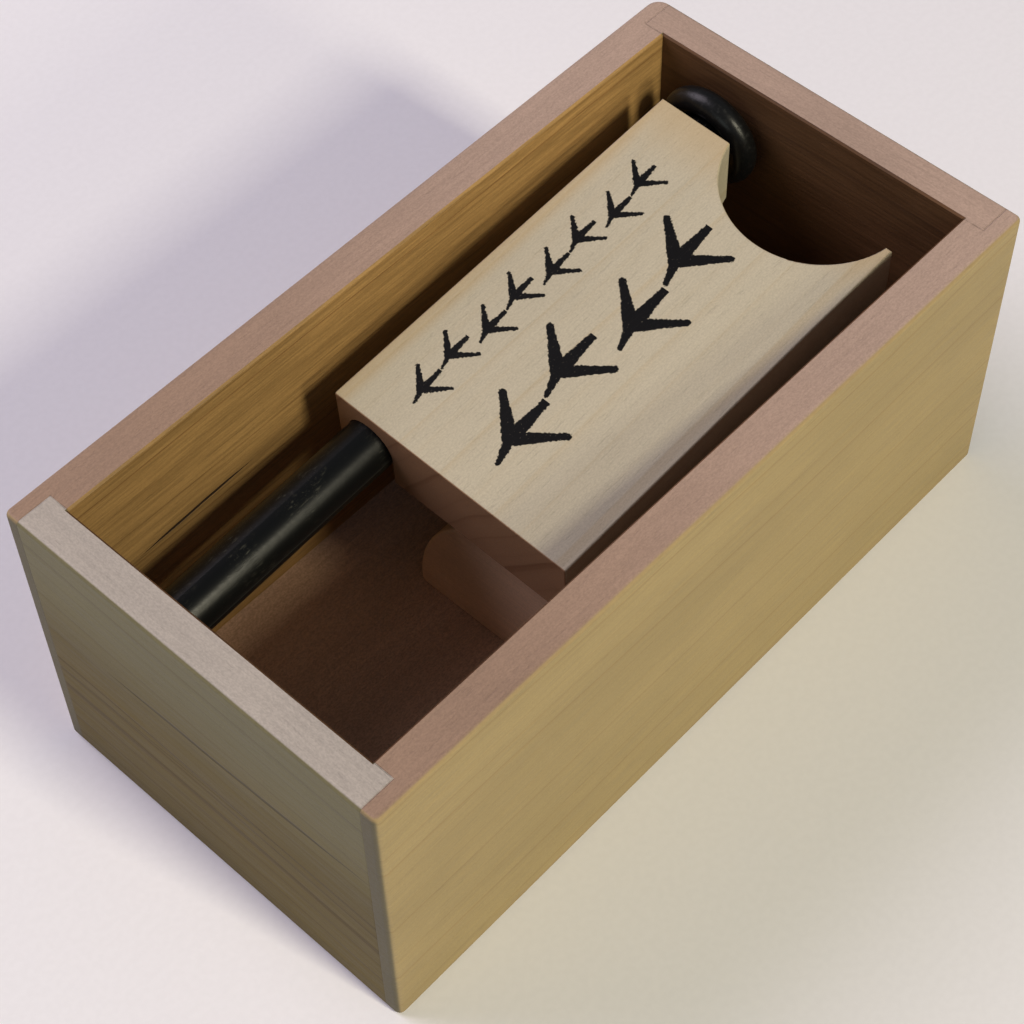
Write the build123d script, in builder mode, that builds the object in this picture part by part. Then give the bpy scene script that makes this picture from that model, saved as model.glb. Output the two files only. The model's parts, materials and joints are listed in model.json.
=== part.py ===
"""Rod-guided box turkey call: an open wooden box with a striker block that slides on a rod.

Units are millimetres. The origin is the centre of the box's underside. +X runs along the box,
from the end where the rod is low to the end where it is high, +Y from the front side wall to the
rear one, and +Z up.
"""
import os
from math import cos, radians, sin, sqrt, tan

from build123d import *

# ---- the box -------------------------------------------------------------------------------
box_length = 126.3
box_width = 66.0
box_height = 53.8
side_thickness = 6.0        # the two long walls, which run the full length
end_thickness = 5.7         # the two end boards
bottom_thickness = 5.0
end_rebate_depth = 3.4      # how far each end board is let into the side walls
bottom_rebate_depth = 3.0   # how far the bottom board is let into the four walls
corner_round = 1.0          # upright corners, sanded by hand
blunt_corner_round = 2.3    # the rear right one, sanded more than the others
foot_round = 0.8            # around the underside
rim_round = 0.7             # outer top arris
inner_arris = 0.3           # inner top arris, around the opening

# ---- the rod -------------------------------------------------------------------------------
rod_radius = 4.0
rod_pitch = 4.3             # degrees, the right end is the higher one
rod_y = 14.83               # behind the box's middle plane
rod_height_left = 35.3      # axis height at the outer face of the left end board
rod_end_chamfer = 0.5
socket_floor = 2.1          # wood left behind each blind socket
socket_clearance = 0.05     # radial, so that the rod turns

# ---- the rubber bumper ring ------------------------------------------------------------------
ring_section = 4.0
ring_slack = 0.3            # radial, so that the ring hangs loosely on the rod
ring_wall_gap = 0.75

# ---- the striker block -------------------------------------------------------------------------
block_length = 67.7
block_left = 46.42          # near face, measured along the rod from the box's left outer face
block_rear = 6.1            # from the rod's axis to the rear edge
block_front = 35.65         # from the rod's axis to the front edge
block_above = 6.44          # wood above the rod's axis
block_below = 5.76          # wood below the rod's axis
block_roll = 2.7            # degrees, the front edge is the lower one
block_arris = 0.3
groove_radius = rod_radius + 0.1
scoop_radius = 14.3         # finger scoop in the right end
scoop_along = 70.6          # its centre, from the block's left face
scoop_across = -20.6        # and from the rod's axis
horn_round = 0.4            # the corner between the right end and the scoop

# ---- the sounding board ------------------------------------------------------------------------
board_thickness = 5.0
board_from_left = 50.3      # its left face, from the box's left outer face
board_reach = 38.2          # width of its foot, from the front wall's inner face
board_shoulder = 25.0       # radius of the rear shoulder
board_clearance = 0.2       # under the block
board_arris = 0.5
board_foot_round = 1.2

# ---- worked out from the above -------------------------------------------------------------------
left_x = -box_length / 2
right_x = box_length / 2
front_inner_y = -box_width / 2 + side_thickness
inner_length = box_length - 2 * end_thickness
inner_width = box_width - 2 * side_thickness
end_board_width = box_width - 2 * (side_thickness - end_rebate_depth)
bottom_length = box_length - 2 * (end_thickness - bottom_rebate_depth)
bottom_width = box_width - 2 * (side_thickness - bottom_rebate_depth)

horn_from_rod = -scoop_across - sqrt(scoop_radius**2 - (scoop_along - block_length) ** 2)

along_rod = Vector(cos(radians(rod_pitch)), 0, sin(radians(rod_pitch)))
rod_start = Vector(left_x, rod_y, rod_height_left)


def rod_point(distance):
    """A point on the rod's axis, at a distance along it from the box's left outer face."""
    return rod_start + along_rod * distance


def distance_at(x):
    """How far along the rod its axis reaches a given x."""
    return (x - left_x) / cos(radians(rod_pitch))


def rolled_plane(distance):
    """The striker's cross-section plane: x to the rear, y up, normal along the rod."""
    across = Vector(0, 1, 0).rotate(Axis((0, 0, 0), along_rod), block_roll)
    return Plane(origin=rod_point(distance), x_dir=across, z_dir=along_rod)


def is_flat_along(face, direction):
    """Whether a face is flat and its normal runs along a direction, either way."""
    return face.is_planar and abs(face.normal_at().dot(direction)) > 0.9999


def save(piece, name):
    piece.part.label = name
    export_step(piece.part, f"parts/{name}.step")


os.makedirs("parts", exist_ok=True)

# The whole box as one rounded block: every wall is cut to it, so that the rounding runs on
# from piece to piece.
with BuildPart() as envelope:
    Box(box_length, box_width, box_height, align=(Align.CENTER, Align.CENTER, Align.MIN))
    uprights = envelope.edges().filter_by(Axis.Z)
    blunt_corner = uprights.sort_by_distance((right_x, box_width / 2, box_height / 2))[0]
    fillet(uprights - ShapeList([blunt_corner]), corner_round)
    fillet(blunt_corner, blunt_corner_round)
    fillet(envelope.faces().sort_by(Axis.Z)[0].edges(), foot_round)
    fillet(envelope.faces().sort_by(Axis.Z)[-1].edges(), rim_round)

# The mouth of the box, which widens upwards: cutting it from every wall takes the arris off the
# inner edges, all the way round.
with BuildPart() as mouth:
    with BuildSketch(Plane.XY.offset(box_height - inner_arris)):
        Rectangle(inner_length, inner_width)
    extrude(amount=2 * inner_arris, taper=-45)


def end_rebate(side):
    """Takes away the room for an end board: side is -1 for the left end and 1 for the right."""
    x = side * (box_length - end_thickness) / 2
    with Locations((x, 0, 0)):
        Box(
            end_thickness,
            end_board_width,
            box_height,
            align=(Align.CENTER, Align.CENTER, Align.MIN),
            mode=Mode.SUBTRACT,
        )


def bottom_rebate():
    """Takes away the room for the bottom board."""
    Box(
        bottom_length,
        bottom_width,
        bottom_thickness,
        align=(Align.CENTER, Align.CENTER, Align.MIN),
        mode=Mode.SUBTRACT,
    )


# ---- the two side walls: rebated at both ends for the end boards, and below for the bottom ----
for name, side in (("front_side_wall", -1), ("rear_side_wall", 1)):
    with BuildPart() as side_wall:
        with Locations((0, side * (box_width - side_thickness) / 2, 0)):
            Box(
                box_length,
                side_thickness,
                box_height,
                align=(Align.CENTER, Align.CENTER, Align.MIN),
            )
        end_rebate(-1)
        end_rebate(1)
        bottom_rebate()
        add(envelope.part, mode=Mode.INTERSECT)
        add(mouth.part, mode=Mode.SUBTRACT)
    save(side_wall, name)

# ---- the two end boards: each holds a blind socket for the rod ----------------------------------
for name, side in (("left_end_board", -1), ("right_end_board", 1)):
    with BuildPart() as end_board:
        with Locations((side * (box_length - end_thickness) / 2, 0, 0)):
            Box(
                end_thickness,
                end_board_width,
                box_height,
                align=(Align.CENTER, Align.CENTER, Align.MIN),
            )
        bottom_rebate()
        socket_x = side * (right_x - socket_floor)
        socket = Plane(origin=rod_point(distance_at(socket_x)), z_dir=along_rod * -side)
        with BuildSketch(socket):
            Circle(rod_radius + socket_clearance)
        extrude(amount=2 * end_thickness, mode=Mode.SUBTRACT)
        add(envelope.part, mode=Mode.INTERSECT)
        add(mouth.part, mode=Mode.SUBTRACT)
    save(end_board, name)

# ---- the bottom board, flush with the underside --------------------------------------------------
with BuildPart() as bottom_board:
    Box(
        bottom_length,
        bottom_width,
        bottom_thickness,
        align=(Align.CENTER, Align.CENTER, Align.MIN),
    )
save(bottom_board, "bottom_board")

# ---- the guide rod, from socket to socket ---------------------------------------------------------
end_play = 0.2 + rod_radius * tan(radians(rod_pitch))
first_end = distance_at(left_x + socket_floor) + end_play
last_end = distance_at(right_x - socket_floor) - end_play
with BuildPart() as guide_rod:
    with BuildSketch(Plane(origin=rod_point(first_end), z_dir=along_rod)):
        Circle(rod_radius)
    extrude(amount=last_end - first_end)
    chamfer(guide_rod.edges().filter_by(GeomType.CIRCLE), rod_end_chamfer)
save(guide_rod, "guide_rod")

# ---- the rubber ring that the striker comes to rest against ---------------------------------------
ring_centre_radius = rod_radius + ring_slack + ring_section / 2
ring_reach = ring_section / 2 + ring_centre_radius * sin(radians(rod_pitch)) + ring_wall_gap
below_rod = Vector(sin(radians(rod_pitch)), 0, -cos(radians(rod_pitch)))
ring_centre = rod_point(distance_at(right_x - end_thickness - ring_reach)) + below_rod * (
    ring_slack - socket_clearance
)
with BuildPart() as bumper_ring:
    with BuildSketch(Plane(origin=ring_centre, x_dir=along_rod, z_dir=(0, -1, 0))):
        with Locations((0, ring_centre_radius)):
            Circle(ring_section / 2)
    revolve(axis=Axis(ring_centre, along_rod))
save(bumper_ring, "bumper_ring")

# ---- the striker block: a groove that fits over the rod, and a finger scoop in its right end -----
with BuildPart() as striker_block:
    section = rolled_plane(block_left)
    with BuildSketch(section):
        with Locations(((block_rear - block_front) / 2, (block_above - block_below) / 2)):
            Rectangle(block_rear + block_front, block_above + block_below)
        Circle(groove_radius, mode=Mode.SUBTRACT)
        with Locations((0, -block_below)):
            Rectangle(2 * groove_radius, 2 * block_below, mode=Mode.SUBTRACT)
    extrude(amount=block_length)
    top_origin = section.origin + section.y_dir * block_above
    top = Plane(origin=top_origin, x_dir=along_rod, z_dir=section.y_dir)
    with BuildSketch(top):
        with Locations((scoop_along, scoop_across)):
            Circle(scoop_radius)
    extrude(amount=-(block_above + block_below), mode=Mode.SUBTRACT)
    upright = striker_block.edges().filter_by(Axis(section.origin, section.y_dir))
    horn = top_origin + along_rod * block_length - section.x_dir * horn_from_rod
    fillet(upright.sort_by_distance(horn)[0], horn_round)
    corners = [section.x_dir * block_rear, section.x_dir * -block_front]
    for corner in corners:
        fillet(
            striker_block.edges()
            .filter_by(Axis(section.origin, section.y_dir))
            .sort_by_distance(top_origin + corner)[0],
            block_arris,
        )
    rims = striker_block.faces().filter_by(lambda face: is_flat_along(face, section.y_dir))
    fillet(rims.sort_by(Axis.Z)[-1].edges(), block_arris)
save(striker_block, "striker_block")

# ---- the sounding board: an upright shouldered board that the striker's underside rubs on --------
board_x = left_x + board_from_left
under = rolled_plane(distance_at(board_x))
under_origin = under.origin - under.y_dir * (block_below + board_clearance)
top_slope = tan(radians(block_roll))


def top_height(y):
    """Height of the board's top edge, which runs parallel to the striker's underside."""
    return under_origin.Z + (y - under_origin.Y) * top_slope


foot_y = front_inner_y + board_reach
with BuildPart() as sounding_board:
    with BuildSketch(Plane.YZ.offset(board_x)) as profile:
        with BuildLine():
            Polyline(
                (front_inner_y, bottom_thickness),
                (foot_y, bottom_thickness),
                (foot_y, top_height(foot_y)),
                (front_inner_y, top_height(front_inner_y)),
                close=True,
            )
        make_face()
        foot, shoulder = profile.vertices().group_by(Axis.X)[-1].sort_by(Axis.Y)
        fillet(shoulder, board_shoulder)
        foot = profile.vertices().sort_by_distance(foot)[0]
        fillet(foot, board_foot_round)
    extrude(amount=board_thickness)
    for broad_face in sounding_board.faces().filter_by(Axis.X):
        free_edges = broad_face.edges().filter_by(lambda edge: edge.center().Y > front_inner_y + 0.01)
        fillet(free_edges, board_arris)
save(sounding_board, "sounding_board")
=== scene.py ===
"""The looks of the rod-guided box turkey call: wood, plastic, rubber, light and camera.

Everything is in metres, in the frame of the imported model: +X runs along the box towards the end
where the rod is higher, +Y across it towards the rear wall, and +Z up.
"""
import json
from math import cos, radians, sin

import bpy
from mathutils import Euler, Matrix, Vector


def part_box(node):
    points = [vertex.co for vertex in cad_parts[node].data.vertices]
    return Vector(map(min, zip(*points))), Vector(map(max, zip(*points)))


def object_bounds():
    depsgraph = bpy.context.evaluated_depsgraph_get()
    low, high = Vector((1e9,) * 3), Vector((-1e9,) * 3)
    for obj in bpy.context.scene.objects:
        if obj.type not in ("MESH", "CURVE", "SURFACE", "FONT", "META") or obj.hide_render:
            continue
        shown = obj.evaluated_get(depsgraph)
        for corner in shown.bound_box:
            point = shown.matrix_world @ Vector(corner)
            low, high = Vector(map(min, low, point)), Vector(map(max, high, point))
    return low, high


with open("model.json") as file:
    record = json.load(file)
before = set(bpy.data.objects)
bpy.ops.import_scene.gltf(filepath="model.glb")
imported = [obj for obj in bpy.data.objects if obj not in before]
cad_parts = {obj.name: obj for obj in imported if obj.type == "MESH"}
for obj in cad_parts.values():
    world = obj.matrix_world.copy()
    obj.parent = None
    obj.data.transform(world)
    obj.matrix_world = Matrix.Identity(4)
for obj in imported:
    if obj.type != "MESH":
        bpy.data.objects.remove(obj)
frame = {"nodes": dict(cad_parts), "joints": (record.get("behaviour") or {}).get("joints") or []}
cad_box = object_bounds()

MM = 0.001
X_AXIS, Y_AXIS, Z_AXIS = (1, 0, 0), (0, 1, 0), (0, 0, 1)

# ---- camera --------------------------------------------------------------------------------
CAMERA_AIM = Vector((-6.58, -1.57, 27.4)) * MM
CAMERA_DISTANCE = 338.4 * MM
CAMERA_AZIMUTH = 45.98      # degrees, turned from +Y towards +X
CAMERA_DROP = 54.36         # degrees below the horizon
CAMERA_ROLL = 1.61          # degrees
CAMERA_LENS = 85.75         # mm
CAMERA_SENSOR = 36          # mm

# ---- places read from the frame ------------------------------------------------------------
rim_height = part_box("front_side_wall")[1].z
inner_y = -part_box("front_side_wall")[1].y       # the side walls' inner faces
tongue_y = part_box("left_end_board")[1].y        # how far the end boards go into the side walls
shoulder_x = -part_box("left_end_board")[1].x     # the end boards' inner faces
outer_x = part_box("front_side_wall")[1].x        # the ends of the box

rod_joint = next(joint for joint in frame["joints"] if joint["name"] == "rod_turn")
rod_start = Vector(rod_joint["pos_m"])
along_rod = -Vector(rod_joint["axis"]).normalized()
above_rod = Vector((-along_rod.z, 0, along_rod.x))

BLOCK_ROLL = radians(2.7)   # the striker leans at rest, with its front edge lower
across_block = Vector((0, 1, 0)) * cos(BLOCK_ROLL) + above_rod * sin(BLOCK_ROLL)
above_block = along_rod.cross(across_block)


def node_span(node, direction):
    """How far a CAD node reaches along a direction, lowest and highest."""
    reach = [vertex.co.dot(direction) for vertex in frame["nodes"][node].data.vertices]
    return min(reach), max(reach)


class Nodes:
    """A material's node tree, with short ways to add what this script uses."""

    def __init__(self, name):
        self.material = bpy.data.materials.new(name)
        self.material.use_nodes = True
        self.tree = self.material.node_tree
        self.shader = self.tree.nodes["Principled BSDF"]

    def add(self, kind, **settings):
        node = self.tree.nodes.new(kind)
        for name, value in settings.items():
            setattr(node, name, value)
        return node

    def put(self, socket, value):
        if isinstance(value, bpy.types.NodeSocket):
            self.tree.links.new(value, socket)
        elif value is not None:
            socket.default_value = value

    def math(self, operation, *values, clamp=False):
        node = self.add("ShaderNodeMath", operation=operation, use_clamp=clamp)
        for socket, value in zip(node.inputs, values):
            self.put(socket, value)
        return node.outputs[0]

    def vector(self, operation, *values):
        node = self.add("ShaderNodeVectorMath", operation=operation)
        for socket, value in zip(node.inputs, values):
            self.put(socket, value)
        scalar = operation in ("DOT_PRODUCT", "LENGTH", "DISTANCE")
        return node.outputs["Value" if scalar else "Vector"]

    def scaled(self, value, factor):
        node = self.add("ShaderNodeVectorMath", operation="SCALE")
        self.put(node.inputs[0], value)
        self.put(node.inputs["Scale"], factor)
        return node.outputs["Vector"]

    def combine(self, x, y, z):
        node = self.add("ShaderNodeCombineXYZ")
        for socket, value in zip(node.inputs, (x, y, z)):
            self.put(socket, value)
        return node.outputs[0]

    def coordinates(self, output="Object"):
        return self.add("ShaderNodeTexCoord").outputs[output]

    def noise(self, position, scale=1.0, detail=2.0, roughness=0.5):
        node = self.add("ShaderNodeTexNoise")
        self.put(node.inputs["Vector"], position)
        self.put(node.inputs["Scale"], scale)
        self.put(node.inputs["Detail"], detail)
        self.put(node.inputs["Roughness"], roughness)
        return node.outputs["Fac"]

    def remap(self, value, low, high, to_low=0.0, to_high=1.0):
        node = self.add("ShaderNodeMapRange", interpolation_type="SMOOTHSTEP")
        for socket, number in zip(node.inputs, (value, low, high, to_low, to_high)):
            self.put(socket, number)
        return node.outputs[0]

    def ramp(self, value, *stops):
        node = self.add("ShaderNodeValToRGB")
        elements = node.color_ramp.elements
        while len(elements) < len(stops):
            elements.new(0.5)
        for element, (place, level) in zip(elements, stops):
            element.position = place
            element.color = (level, level, level, 1)
        self.put(node.inputs[0], value)
        return node.outputs[0]

    def mix(self, factor, a, b, blend="MIX"):
        node = self.add("ShaderNodeMix", data_type="RGBA", blend_type=blend)
        color_a, color_b = [s for s in node.inputs if s.type == "RGBA"]
        self.put(node.inputs["Factor"], factor)
        for socket, value in ((color_a, a), (color_b, b)):
            self.put(socket, value if isinstance(value, bpy.types.NodeSocket) else (*value, 1))
        return next(s for s in node.outputs if s.type == "RGBA")

    def shade(self, color, level):
        """The colour made lighter or darker by a number."""
        return self.mix(1.0, color, self.combine(level, level, level), blend="MULTIPLY")

    def bump(self, height, distance, strength=1.0):
        node = self.add("ShaderNodeBump")
        self.put(node.inputs["Height"], height)
        self.put(node.inputs["Distance"], distance)
        self.put(node.inputs["Strength"], strength)
        return node.outputs["Normal"]

    def finish(self, color, roughness, normal, specular=0.5):
        self.put(self.shader.inputs["Base Color"], color)
        self.put(self.shader.inputs["Roughness"], roughness)
        self.put(self.shader.inputs["Normal"], normal)
        self.put(self.shader.inputs["Specular IOR Level"], specular)
        return self.material


def srgb(red, green, blue):
    """A colour given as it is seen, 0 to 255, as the linear values that a shader takes."""

    def linear(level):
        level /= 255
        return level / 12.92 if level <= 0.04045 else ((level + 0.055) / 1.055) ** 2.4

    return linear(red), linear(green), linear(blue)


# The noise levels at which a contrast is full, below and above the middle.
NOISE_LOW, NOISE_HIGH = 0.28, 0.72


class Grain:
    """Solid wood: growth rings round a far pith, with fibres, pores and slow colour changes.

    along, across and up are the board's own directions, pith is where the tree's heart was, seen
    along the grain, ring_pitch is the width of a year's growth, and seed is the board's own place
    in the noise.
    """

    RING_WANDER = 9 * MM        # the range over which the rings stray from true circles
    YEAR_SPREAD = 3.0           # how far good and bad years shift the rings, in rings
    YEAR_STEP = 7.3             # from one year's place in the noise to the next one's

    def __init__(self, nodes, along, across, up, pith, ring_pitch, seed):
        n = self.nodes = nodes
        position = n.coordinates()
        self.drift = n.combine(seed, seed * 1.7, seed * 0.3)
        self.along = n.vector("DOT_PRODUCT", position, along)
        self.across = n.vector("DOT_PRODUCT", position, across)
        self.up = n.vector("DOT_PRODUCT", position, up)
        wander = n.math("SUBTRACT", self.streaks(7, 24, detail=2), 0.5)
        away = n.combine(0, n.math("SUBTRACT", self.across, pith[0]),
                         n.math("SUBTRACT", self.up, pith[1]))
        radius = n.math("ADD", n.vector("LENGTH", away),
                        n.math("MULTIPLY", wander, self.RING_WANDER))
        turns = n.math("DIVIDE", radius, ring_pitch)
        uneven = n.noise(n.combine(seed, n.math("MULTIPLY", turns, 0.4), 0), detail=3)
        turns = n.math("ADD", turns, n.math("MULTIPLY", uneven, self.YEAR_SPREAD))
        line = n.ramp(n.math("FRACT", turns), (0.0, 0.15), (0.4, 0.0), (0.8, 0.3), (0.94, 1.0),
                      (1.0, 0.15))
        year = n.math("MULTIPLY", n.math("FLOOR", turns), self.YEAR_STEP)
        weight = n.remap(n.noise(n.combine(seed, year, 0), detail=0), 0.4, 0.68, 0.12, 1.0)
        self.rings = n.math("MULTIPLY", line, weight)
        self.fibres = self.streaks(90, 2400, detail=3, roughness=0.6)
        self.specks = self.streaks(2600, 4400, detail=2, roughness=0.7)
        self.pores = n.remap(self.streaks(380, 5200, detail=1), 0.62, 0.74)
        self.clouds = self.streaks(16, 60, detail=3)

    def streaks(self, along_scale, side_scale, detail, roughness=0.5):
        """Noise that is drawn out along the grain. A scale is how often it changes in a metre."""
        n = self.nodes
        place = n.combine(n.math("MULTIPLY", self.along, along_scale),
                          n.math("MULTIPLY", self.across, side_scale),
                          n.math("MULTIPLY", self.up, side_scale))
        return n.noise(n.vector("ADD", place, self.drift), detail=detail, roughness=roughness)

    def tone(self, rings=0.12, fibres=0.08, specks=0.06, pores=0.10, clouds=0.06):
        """How light the wood is from place to place, about 1. Each number is a contrast."""
        n = self.nodes
        level = n.math("SUBTRACT", 1.0, n.math("MULTIPLY", self.rings, rings))
        for value, contrast in ((self.fibres, fibres), (self.specks, specks),
                                (self.clouds, clouds)):
            level = n.math("MULTIPLY", level, n.remap(value, NOISE_LOW, NOISE_HIGH,
                                                      1 - contrast, 1 + contrast))
        return n.math("MULTIPLY", level, n.remap(self.pores, 0, 1, 1.0, 1 - pores))

    def height(self):
        """How high the surface stands. Pores and late wood are sunk."""
        n = self.nodes
        height = n.math("MULTIPLY", self.fibres, 0.5)
        for value, share in ((self.specks, 0.4), (self.pores, -0.4), (self.rings, -0.25)):
            height = n.math("ADD", height, n.math("MULTIPLY", value, share))
        return height

    def line(self, level, middle, half_width, start, end):
        """A mark along the grain where level is middle. It tapers to nothing at start and end."""
        n = self.nodes
        third = (end - start) / 3
        taper = n.math("MULTIPLY", n.remap(self.along, start, start + third),
                       n.remap(self.along, end - third, end, 1.0, 0.0))
        width = n.math("MULTIPLY", taper, half_width)
        off = n.math("ABSOLUTE", n.math("SUBTRACT", level, middle))
        edge = n.math("DIVIDE", off, n.math("MAXIMUM", width, 0.00001))
        return n.math("MULTIPLY", n.remap(edge, 0.4, 1.0, 1.0, 0.0), n.remap(taper, 0.0, 0.15))


# ---- colours, as they look under a white light -----------------------------------------------
# A board's late colour is that of the dark line that ends each year's growth.
FACE = srgb(166, 146, 103)
FACE_LATE = srgb(155, 131, 88)
END_FACE = srgb(121, 114, 81)
END_FACE_LATE = srgb(96, 80, 55)
# Painted shade: the end boards' outer faces turn to these darker colours towards their foot.
END_FACE_FOOT_SHADE = srgb(100, 84, 34)
END_FACE_FOOT_SHADE_LATE = srgb(72, 54, 20)
RIM = srgb(156, 129, 110)
# Painted light: the paler rim colour that the side rims turn to towards the right end.
RIM_FAR_LIT = srgb(179, 154, 139)
PALE_RIM = srgb(184, 175, 166)
ARRIS = srgb(176, 148, 108)
INNER = srgb(158, 124, 76)
INNER_LATE = srgb(126, 93, 53)
# Painted shade: a darker copy of the inner wood, put on the front wall's and the end boards' inner
# faces to stand in for shade.
SHADED_INNER = srgb(97, 67, 40)
SHADED_INNER_LATE = srgb(84, 57, 34)
END_GRAIN = srgb(103, 95, 72)
BOTTOM = srgb(186, 152, 128)
SOUNDING = srgb(240, 205, 175)
MAPLE = srgb(193, 184, 162)
MAPLE_LATE = srgb(184, 165, 130)
MAPLE_END = srgb(164, 126, 96)
MAPLE_END_LATE = srgb(142, 104, 76)
# Painted shade along the striker top's rear edge; the same colour also makes a band at its right
# end.
MAPLE_EDGE = srgb(196, 168, 122)
INK = srgb(6, 6, 7)
GAP = srgb(44, 30, 22)
ROD_PLASTIC = srgb(13, 15, 16)
ROD_WORN = srgb(84, 84, 72)
ROD_PARTING = srgb(58, 62, 58)
RING_RUBBER = srgb(16, 17, 18)
RING_DUST = srgb(60, 60, 58)
FLOOR_PAPER = srgb(246, 246, 251)

# ---- how the walls change from place to place, painted light and shade among it --------------
# Painted shade: an end board's outer face is fully darkened below the first height, and no longer
# above the second.
FULL_FOOT_SHADE_TOP, FOOT_SHADE_GONE_HEIGHT = 22 * MM, 50 * MM    # up an end board, which has a darker foot
# Painted light: the side walls' rims and inner faces get paler towards the right end.
RIM_LIGHT_TURN = 45 * MM          # how far each side of the middle the side rims' colour changes over
INNER_LIGHT_GAIN = 1.26           # how much paler the side walls' inner faces are at the right end
ARRIS_STRENGTH = 0.45
MARK_WIGGLE = 1.2 * MM      # the range over which a mark strays from a straight line
JOINT_STRENGTH = 0.2
JOINT_DEPTH = 0.6           # against a mark's depth
MARK_DEPTH = 3.0            # against the grain's height
WOOD_RELIEF = 0.05 * MM
STRIKER_RELIEF = 0.04 * MM
LINE_EDGE = 0.1 * MM        # how softly a joint line starts and ends


def seam(n, distance, half_width=0.13 * MM):
    """1 along a joint line and 0 away from it. distance is how far off the line a point is."""
    return n.remap(n.math("ABSOLUTE", distance), half_width * 0.4, half_width, 1.0, 0.0)


def joint_lines(n, x, y):
    """The lines where the end boards are let into the side walls."""
    far_x, far_y = n.math("ABSOLUTE", x), n.math("ABSOLUTE", y)
    beyond = n.remap(far_x, shoulder_x - LINE_EDGE, shoulder_x)
    tongue = n.math("MULTIPLY", seam(n, n.math("SUBTRACT", far_y, tongue_y)), beyond)
    in_wall = n.math("MULTIPLY", n.remap(far_y, inner_y - LINE_EDGE, inner_y),
                     n.remap(far_y, tongue_y, tongue_y + LINE_EDGE, 1.0, 0.0))
    shoulder = n.math("MULTIPLY", seam(n, n.math("SUBTRACT", far_x, shoulder_x)), in_wall)
    broken = n.remap(n.noise(n.combine(n.math("MULTIPLY", x, 700), n.math("MULTIPLY", y, 700), 0),
                             detail=2), 0.35, 0.6, 0.35, 1.0)
    return n.math("MULTIPLY", n.math("MAXIMUM", tongue, shoulder), broken)


def wall_material(name, grain_axis, outward, pith, ring_pitch, seed, face, inner, rim, marks=(),
                  shaded_foot_face=None, arris=None):
    """A wall, with its own colour on the outer face, the inner face, the rim and the end grain.

    outward is which way the outer face looks along the other level axis. face, inner and the
    pair for the foot of the outer face are pairs of colours, early and late; the foot's pair is
    painted shade, darker towards the foot. Each of marks is a dark line along the grain: whether
    it is on the inside, its height, its rise, its half width, its start, its end and its strength.
    """
    n = Nodes(name)
    along_x = grain_axis == X_AXIS
    side_axis = Y_AXIS if along_x else X_AXIS
    grain = Grain(n, grain_axis, side_axis, Z_AXIS, pith, ring_pitch, seed)
    x, y = (grain.along, grain.across) if along_x else (grain.across, grain.along)
    normal = n.coordinates("Normal")
    facing_up = n.vector("DOT_PRODUCT", normal, Z_AXIS)
    facing_out = n.math("MULTIPLY", n.vector("DOT_PRODUCT", normal, side_axis), outward)
    facing_end = n.math("ABSOLUTE", n.vector("DOT_PRODUCT", normal, grain_axis))

    outer_color = n.mix(grain.rings, *face)
    # Painted shade: the outer face turns darker towards its foot.
    if shaded_foot_face:
        shaded_foot_color = n.mix(grain.rings, *shaded_foot_face)
        outer_color = n.mix(n.remap(grain.up, FULL_FOOT_SHADE_TOP, FOOT_SHADE_GONE_HEIGHT), shaded_foot_color,
                            outer_color)
    outer_color = n.shade(outer_color, grain.tone(rings=0.0, clouds=0.07))
    inner_color = n.shade(n.mix(grain.rings, *inner),
                          grain.tone(rings=0.0, fibres=0.19, clouds=0.10))
    # Painted light: the inner faces and the rims get paler towards the right end.
    if along_x:
        inner_color = n.shade(inner_color, n.remap(x, -outer_x, outer_x, 1.0, INNER_LIGHT_GAIN))
        rim = n.mix(n.remap(x, -RIM_LIGHT_TURN, RIM_LIGHT_TURN), rim, RIM_FAR_LIT)
    rim_tone = grain.tone(rings=0.08, fibres=0.05, specks=0.10, pores=0.06, clouds=0.09)
    rim_color = n.shade(rim, rim_tone)

    # The limits on which way a place faces say where one face's colour gives way to the next's.
    color = n.mix(n.remap(facing_out, -0.6, -0.3), inner_color, outer_color)
    end_color = n.shade(END_GRAIN, grain.tone(rings=0.12, specks=0.08))
    color = n.mix(n.remap(facing_end, 0.5, 0.9), color, end_color)
    if arris:
        edge = n.math("MULTIPLY", n.remap(facing_up, 0.05, 0.5), n.remap(facing_out, -0.3, 0.1))
        color = n.mix(n.math("MULTIPLY", edge, ARRIS_STRENGTH), color, arris)
    color = n.mix(n.remap(facing_up, 0.72, 0.96), color, rim_color)

    joints = joint_lines(n, x, y)
    dents = n.math("MULTIPLY", joints, JOINT_DEPTH)
    for inside, middle, rise, half_width, start, end, strength in marks:
        wiggle = n.math("MULTIPLY", n.math("SUBTRACT", grain.streaks(60, 0.0, detail=2), 0.5),
                        MARK_WIGGLE)
        slope = n.math("MULTIPLY", grain.along, -rise)
        level = n.math("ADD", grain.up, n.math("ADD", wiggle, slope))
        mark = grain.line(level, middle, half_width, start, end)
        if inside:
            side = n.remap(facing_out, -0.7, -0.5, 1.0, 0.0)
        else:
            side = n.remap(facing_out, 0.5, 0.7)
        mark = n.math("MULTIPLY", n.math("MULTIPLY", mark, side), strength)
        color = n.mix(mark, color, GAP)
        dents = n.math("MAXIMUM", dents, mark)
    color = n.mix(n.math("MULTIPLY", joints, JOINT_STRENGTH), color, GAP)
    height = n.math("SUBTRACT", grain.height(), n.math("MULTIPLY", dents, MARK_DEPTH))
    relief = n.bump(height, WOOD_RELIEF)
    return n.finish(color, n.remap(grain.fibres, 0.3, 0.7, 0.55, 0.70), relief, 0.35)


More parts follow.
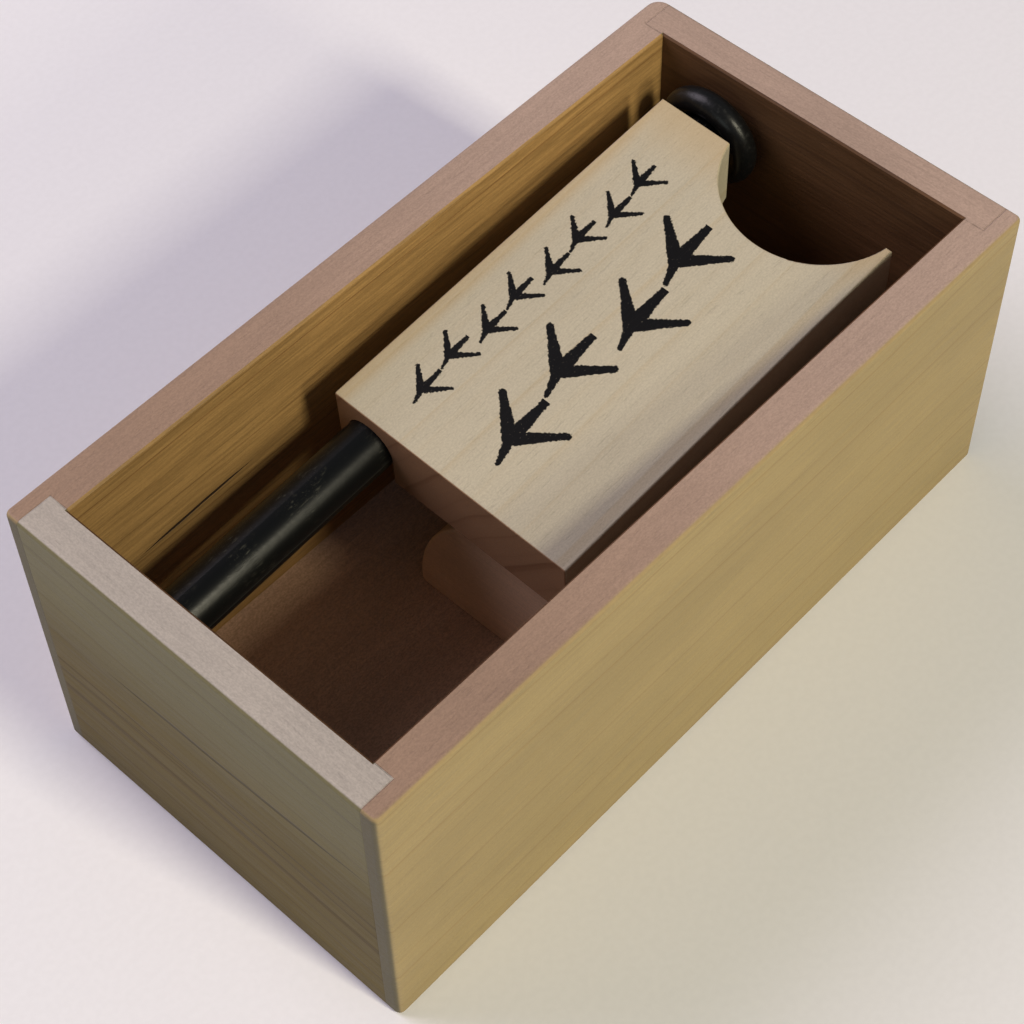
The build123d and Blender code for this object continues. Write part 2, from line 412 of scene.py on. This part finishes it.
def plain_wood(name, along, across, up, pith, ring_pitch, seed, early, late, **contrast):
    """A board that is the same on all its faces. contrast is what Grain.tone takes."""
    n = Nodes(name)
    grain = Grain(n, along, across, up, pith, ring_pitch, seed)
    color = n.shade(n.mix(grain.rings, early, late), grain.tone(rings=0.0, **contrast))
    relief = n.bump(grain.height(), WOOD_RELIEF)
    return n.finish(color, n.remap(grain.fibres, 0.3, 0.7, 0.55, 0.68), relief, 0.35)


# ---- the print on the striker: two rows of bird tracks ---------------------------------------
# Each toe's tip, from the heel, and its girth there and at the heel, as shares of a track's length.
TOES = ((0.66, 0.03, 0.055, 0.10), (0.42, 0.50, 0.05, 0.095), (0.46, -0.47, 0.05, 0.095),
        (-0.33, -0.12, 0.035, 0.07))
# Each row: first track and last track along the block, distance from its rear edge, track length,
# pitch and sideways step, in mm.
TRACK_ROWS = ((5.6, 57.6, 8.0, 6.2, 6.5, 0.5), (5.6, 54.4, 21.6, 11.6, 12.2, 1.2))
HEEL_PLACE = 0.37           # where a track's heel is, as a share of the pitch
INK_RAGGED = 0.6 * MM       # the range over which the ink's edge strays
INK_GRIT = 2600             # how often the edge's raggedness changes in a metre
INK_EDGE = 0.06 * MM


def track_distance(n, u, v, length):
    """How far outside a track's outline a point is. Its toes taper from the heel."""
    point = n.combine(u, v, 0)
    nearest = None
    for tip_u, tip_v, tip_girth, heel_girth in TOES:
        toe = Vector((tip_u, tip_v, 0)) * length
        share = n.math("DIVIDE", n.vector("DOT_PRODUCT", point, tuple(toe)), toe.length_squared,
                       clamp=True)
        off = n.vector("LENGTH", n.vector("SUBTRACT", point, n.scaled(tuple(toe), share)))
        width = n.remap(share, 0.0, 1.0, heel_girth * length, tip_girth * length)
        off = n.math("SUBTRACT", off, width)
        nearest = off if nearest is None else n.math("MINIMUM", nearest, off)
    return nearest


def print_mask(n, along, across, start, rear):
    """1 where the striker's top is inked."""
    ink = None
    for first, last, from_rear, length, pitch, step in TRACK_ROWS:
        reach = n.math("SUBTRACT", along, start + first * MM)
        turn = n.math("DIVIDE", reach, pitch * MM)
        u = n.math("SUBTRACT", n.math("FRACT", turn), HEEL_PLACE)
        u = n.math("MULTIPLY", u, pitch * MM)
        odd = n.math("FLOORED_MODULO", n.math("FLOOR", turn), 2.0)
        side = n.math("MULTIPLY", n.math("SUBTRACT", odd, 0.5), 2 * step * MM)
        v = n.math("SUBTRACT", n.math("SUBTRACT", across, rear - from_rear * MM), side)
        outline = track_distance(n, u, v, length * MM)
        place = n.combine(n.math("MULTIPLY", along, INK_GRIT),
                          n.math("MULTIPLY", across, INK_GRIT), 0)
        ragged = n.math("SUBTRACT", n.noise(place, detail=2), 0.5)
        ragged = n.math("MULTIPLY", ragged, INK_RAGGED)
        row = n.remap(n.math("ADD", outline, ragged), -INK_EDGE, INK_EDGE, 1.0, 0.0)
        row = n.math("MULTIPLY", row, n.math("GREATER_THAN", reach, 0.0))
        row = n.math("MULTIPLY", row, n.math("LESS_THAN", reach, (last - first) * MM))
        ink = row if ink is None else n.math("MAXIMUM", ink, row)
    return ink


# The striker's top is yellower in a band along its rear edge, which is painted shade from the rear
# wall, and in a band at its right end.
REAR_SHADE_WIDTH, WARM_END, WARM_STRENGTH = 3.5 * MM, 11 * MM, 0.5


def striker_material():
    """Pale maple with a printed top and browner end grain."""
    n = Nodes("striker_wood")
    along, across, up = (tuple(v) for v in (along_rod, across_block, above_block))
    grain = Grain(n, along, across, up, pith=(-0.09, -0.02), ring_pitch=0.0032, seed=41.0)
    normal = n.coordinates("Normal")
    facing_up = n.vector("DOT_PRODUCT", normal, up)
    facing_end = n.math("ABSOLUTE", n.vector("DOT_PRODUCT", normal, along))
    tone = grain.tone(rings=0.0, fibres=0.025, specks=0.08, pores=0.10, clouds=0.04)
    color = n.mix(n.math("MULTIPLY", grain.rings, 0.45), MAPLE, MAPLE_LATE)
    end_color = n.mix(grain.rings, MAPLE_END, MAPLE_END_LATE)
    color = n.shade(n.mix(n.remap(facing_end, 0.5, 0.9), color, end_color), tone)
    start, far_end = node_span("striker_block", along_rod)
    rear = node_span("striker_block", across_block)[1]
    # Painted shade along the rear edge, and a yellower band at the right end.
    rear_shade_and_end_band = n.math("MAXIMUM", n.remap(grain.across, rear - REAR_SHADE_WIDTH, rear),
                  n.remap(grain.along, far_end - WARM_END, far_end))
    rear_shade_and_end_band = n.math("MULTIPLY", rear_shade_and_end_band, n.remap(facing_up, 0.5, 0.9))
    color = n.mix(n.math("MULTIPLY", rear_shade_and_end_band, WARM_STRENGTH), color, MAPLE_EDGE)
    ink = print_mask(n, grain.along, grain.across, start, rear)
    ink = n.math("MULTIPLY", ink, n.remap(facing_up, 0.9, 0.97))
    ink = n.math("MULTIPLY", ink, n.remap(grain.specks, 0.68, 0.76, 1.0, 0.55))
    color = n.mix(ink, color, INK)
    roughness = n.remap(grain.fibres, 0.3, 0.7, 0.52, 0.64)
    relief = n.bump(grain.height(), STRIKER_RELIEF)
    return n.finish(color, roughness, relief, 0.22)


# The parting line is full up to the first distance from its middle, and gone by the second.
PARTING_EDGE = 0.04 * MM, 0.13 * MM


def rod_material():
    """Black plastic with a parting line along each side, and worn in patches."""
    n = Nodes("rod_plastic")
    place = n.coordinates()
    along = n.vector("DOT_PRODUCT", place, tuple(along_rod))
    level = n.vector("DOT_PRODUCT", n.vector("SUBTRACT", place, tuple(rod_start)),
                     tuple(above_rod))
    parting = n.remap(n.math("ABSOLUTE", level), *PARTING_EDGE, 1.0, 0.0)
    scratches = n.remap(n.noise(n.combine(n.math("MULTIPLY", along, 700),
                                          n.math("MULTIPLY", level, 9000), 0), detail=3),
                        0.56, 0.74)
    nicks = n.remap(n.noise(n.scaled(place, 3800), detail=3, roughness=0.65), 0.60, 0.74)
    zones = n.remap(n.noise(n.scaled(place, 130), detail=2), 0.42, 0.62)
    worn = n.math("MULTIPLY", n.math("MAXIMUM", scratches, nicks), zones)
    color = n.mix(n.math("MULTIPLY", worn, 0.5), ROD_PLASTIC, ROD_WORN)
    color = n.mix(n.math("MULTIPLY", parting, 0.5), color, ROD_PARTING)
    roughness = n.remap(worn, 0, 1, 0.30, 0.6)
    dimples = n.noise(n.scaled(place, 900), detail=2)
    height = n.math("ADD", n.math("MULTIPLY", parting, 1.5), n.math("MULTIPLY", worn, -0.5))
    height = n.math("ADD", height, n.math("MULTIPLY", dimples, 0.4))
    return n.finish(color, roughness, n.bump(height, 0.03 * MM), 0.24)


def ring_material():
    """Black rubber with a little dust on it."""
    n = Nodes("ring_rubber")
    place = n.coordinates()
    dust = n.remap(n.noise(n.scaled(place, 1700), detail=4, roughness=0.6), 0.52, 0.78)
    color = n.mix(n.math("MULTIPLY", dust, 0.2), RING_RUBBER, RING_DUST)
    relief = n.bump(n.noise(n.scaled(place, 2500), detail=3), 0.02 * MM)
    return n.finish(color, n.remap(dust, 0, 1, 0.34, 0.6), relief, 0.28)


def paint(node, material):
    """Gives a CAD node its material."""
    for slot in frame["nodes"][node].material_slots:
        slot.material = material


def make_materials():
    """Each board has its own pith and seed, so that no two share their grain."""
    side_face, end_face = (FACE, FACE_LATE), (END_FACE, END_FACE_LATE)
    # Painted shade for the end boards' feet.
    end_foot_shade = (END_FACE_FOOT_SHADE, END_FACE_FOOT_SHADE_LATE)
    # Painted shade: the darker inner colours for the inner faces of the front wall and the end
    # boards.
    shaded_inner = (SHADED_INNER, SHADED_INNER_LATE)
    paint("front_side_wall", wall_material(
        "front_wall_wood", X_AXIS, -1, pith=(-0.036, -0.09), ring_pitch=0.0021, seed=3.1,
        face=side_face, inner=shaded_inner, rim=RIM, arris=ARRIS))
    crack = (True, 36.6 * MM, 0.045, 0.36 * MM, -50 * MM, -27 * MM, 0.97)
    paint("rear_side_wall", wall_material(
        "rear_wall_wood", X_AXIS, 1, pith=(0.034, -0.11), ring_pitch=0.0017, seed=8.7,
        face=side_face, inner=(INNER, INNER_LATE), rim=RIM, marks=(crack,), arris=ARRIS))
    dark_line = (False, 32.6 * MM, -0.06, 0.5 * MM, -34 * MM, 22 * MM, 0.62)
    faint_line = (False, 22.0 * MM, -0.06, 0.25 * MM, -18 * MM, 34 * MM, 0.3)
    paint("left_end_board", wall_material(
        "left_board_wood", Y_AXIS, -1, pith=(-0.05, -0.10), ring_pitch=0.0024, seed=5.3,
        face=end_face, inner=shaded_inner, rim=PALE_RIM, marks=(dark_line, faint_line),
        shaded_foot_face=end_foot_shade))
    # The right end board's rim takes the paler rim colour, which is painted light.
    paint("right_end_board", wall_material(
        "right_board_wood", Y_AXIS, 1, pith=(0.07, -0.1), ring_pitch=0.0020, seed=12.9,
        face=end_face, inner=shaded_inner, rim=RIM_FAR_LIT, shaded_foot_face=end_foot_shade))
    paint("bottom_board", plain_wood(
        "bottom_wood", X_AXIS, Y_AXIS, Z_AXIS, pith=(0.05, -0.03), ring_pitch=0.004, seed=21.0,
        early=BOTTOM, late=BOTTOM, fibres=0.07, specks=0.20, clouds=0.16))
    paint("sounding_board", plain_wood(
        "sounding_wood", Y_AXIS, X_AXIS, Z_AXIS, pith=(-0.05, -0.06), ring_pitch=0.0024,
        seed=31.0, early=SOUNDING, late=SOUNDING, fibres=0.06, specks=0.08, clouds=0.08))
    paint("striker_block", striker_material())
    paint("guide_rod", rod_material())
    paint("bumper_ring", ring_material())


FLOOR_SIZE = 6              # metres


def make_floor():
    """A plain pale floor that the box stands on."""
    bpy.ops.mesh.primitive_plane_add(size=FLOOR_SIZE, location=(0, 0, cad_box[0][2]))
    floor = bpy.context.object
    floor.name = "floor"
    n = Nodes("floor_paper")
    tone = n.remap(n.noise(n.scaled(n.coordinates(), 900), detail=3), 0.3, 0.7, 0.98, 1.0)
    floor.data.materials.append(n.finish(n.shade(FLOOR_PAPER, tone), 0.85, None, 0.2))


def area_light(name, azimuth, elevation, distance, size, power, color):
    """A square light that faces the box. Azimuth is where it stands, from -Y towards +X."""
    data = bpy.data.lights.new(name, "AREA")
    data.size = size
    data.energy = power
    data.color = color
    light = bpy.data.objects.new(name, data)
    a, e = radians(azimuth), radians(elevation)
    way = Vector((sin(a) * cos(e), -cos(a) * cos(e), sin(e)))
    light.location = Vector((0, 0, rim_height)) + way * distance
    light.rotation_euler = (-way).to_track_quat("-Z", "Y").to_euler()
    bpy.context.scene.collection.objects.link(light)


# Each light: azimuth and elevation in degrees, distance and size in metres, watts, colour.
LIGHTS = {
    "key": (2, 41, 1.3, 0.18, 7.4, (1.0, 0.93, 0.71)),
    "key_low": (3, 26, 1.3, 0.16, 3.6, (1.0, 0.93, 0.68)),
    "top_soft": (200, 42, 1.2, 0.8, 9.2, (1.0, 0.885, 1.0)),
    "left_fill": (-78, 12, 1.1, 0.5, 1.0, (0.90, 1.0, 0.92)),
}
STUDIO_COLOR, STUDIO_STRENGTH = (0.88, 0.90, 1.0), 0.15


def make_lights():
    for name, settings in LIGHTS.items():
        area_light(name, *settings)
    world = bpy.data.worlds.new("studio")
    bpy.context.scene.world = world
    world.use_nodes = True
    background = world.node_tree.nodes["Background"]
    background.inputs["Color"].default_value = (*STUDIO_COLOR, 1)
    background.inputs["Strength"].default_value = STUDIO_STRENGTH


def make_camera():
    """Aims the camera along its azimuth and drop, from CAMERA_DISTANCE away."""
    data = bpy.data.cameras.new("camera")
    data.lens = CAMERA_LENS
    data.sensor_width = CAMERA_SENSOR
    data.clip_start = 0.01
    camera = bpy.data.objects.new("camera", data)
    a, d = radians(CAMERA_AZIMUTH), radians(CAMERA_DROP)
    forward = Vector((sin(a) * cos(d), cos(a) * cos(d), -sin(d)))
    camera.location = CAMERA_AIM - forward * CAMERA_DISTANCE
    level = forward.to_track_quat("-Z", "Y")
    roll = Euler((0, 0, -radians(CAMERA_ROLL))).to_quaternion()
    camera.rotation_euler = (level @ roll).to_euler()
    bpy.context.scene.collection.objects.link(camera)
    bpy.context.scene.camera = camera


make_camera()
make_floor()
make_lights()
make_materials()
bpy.context.scene.view_settings.view_transform = "Standard"
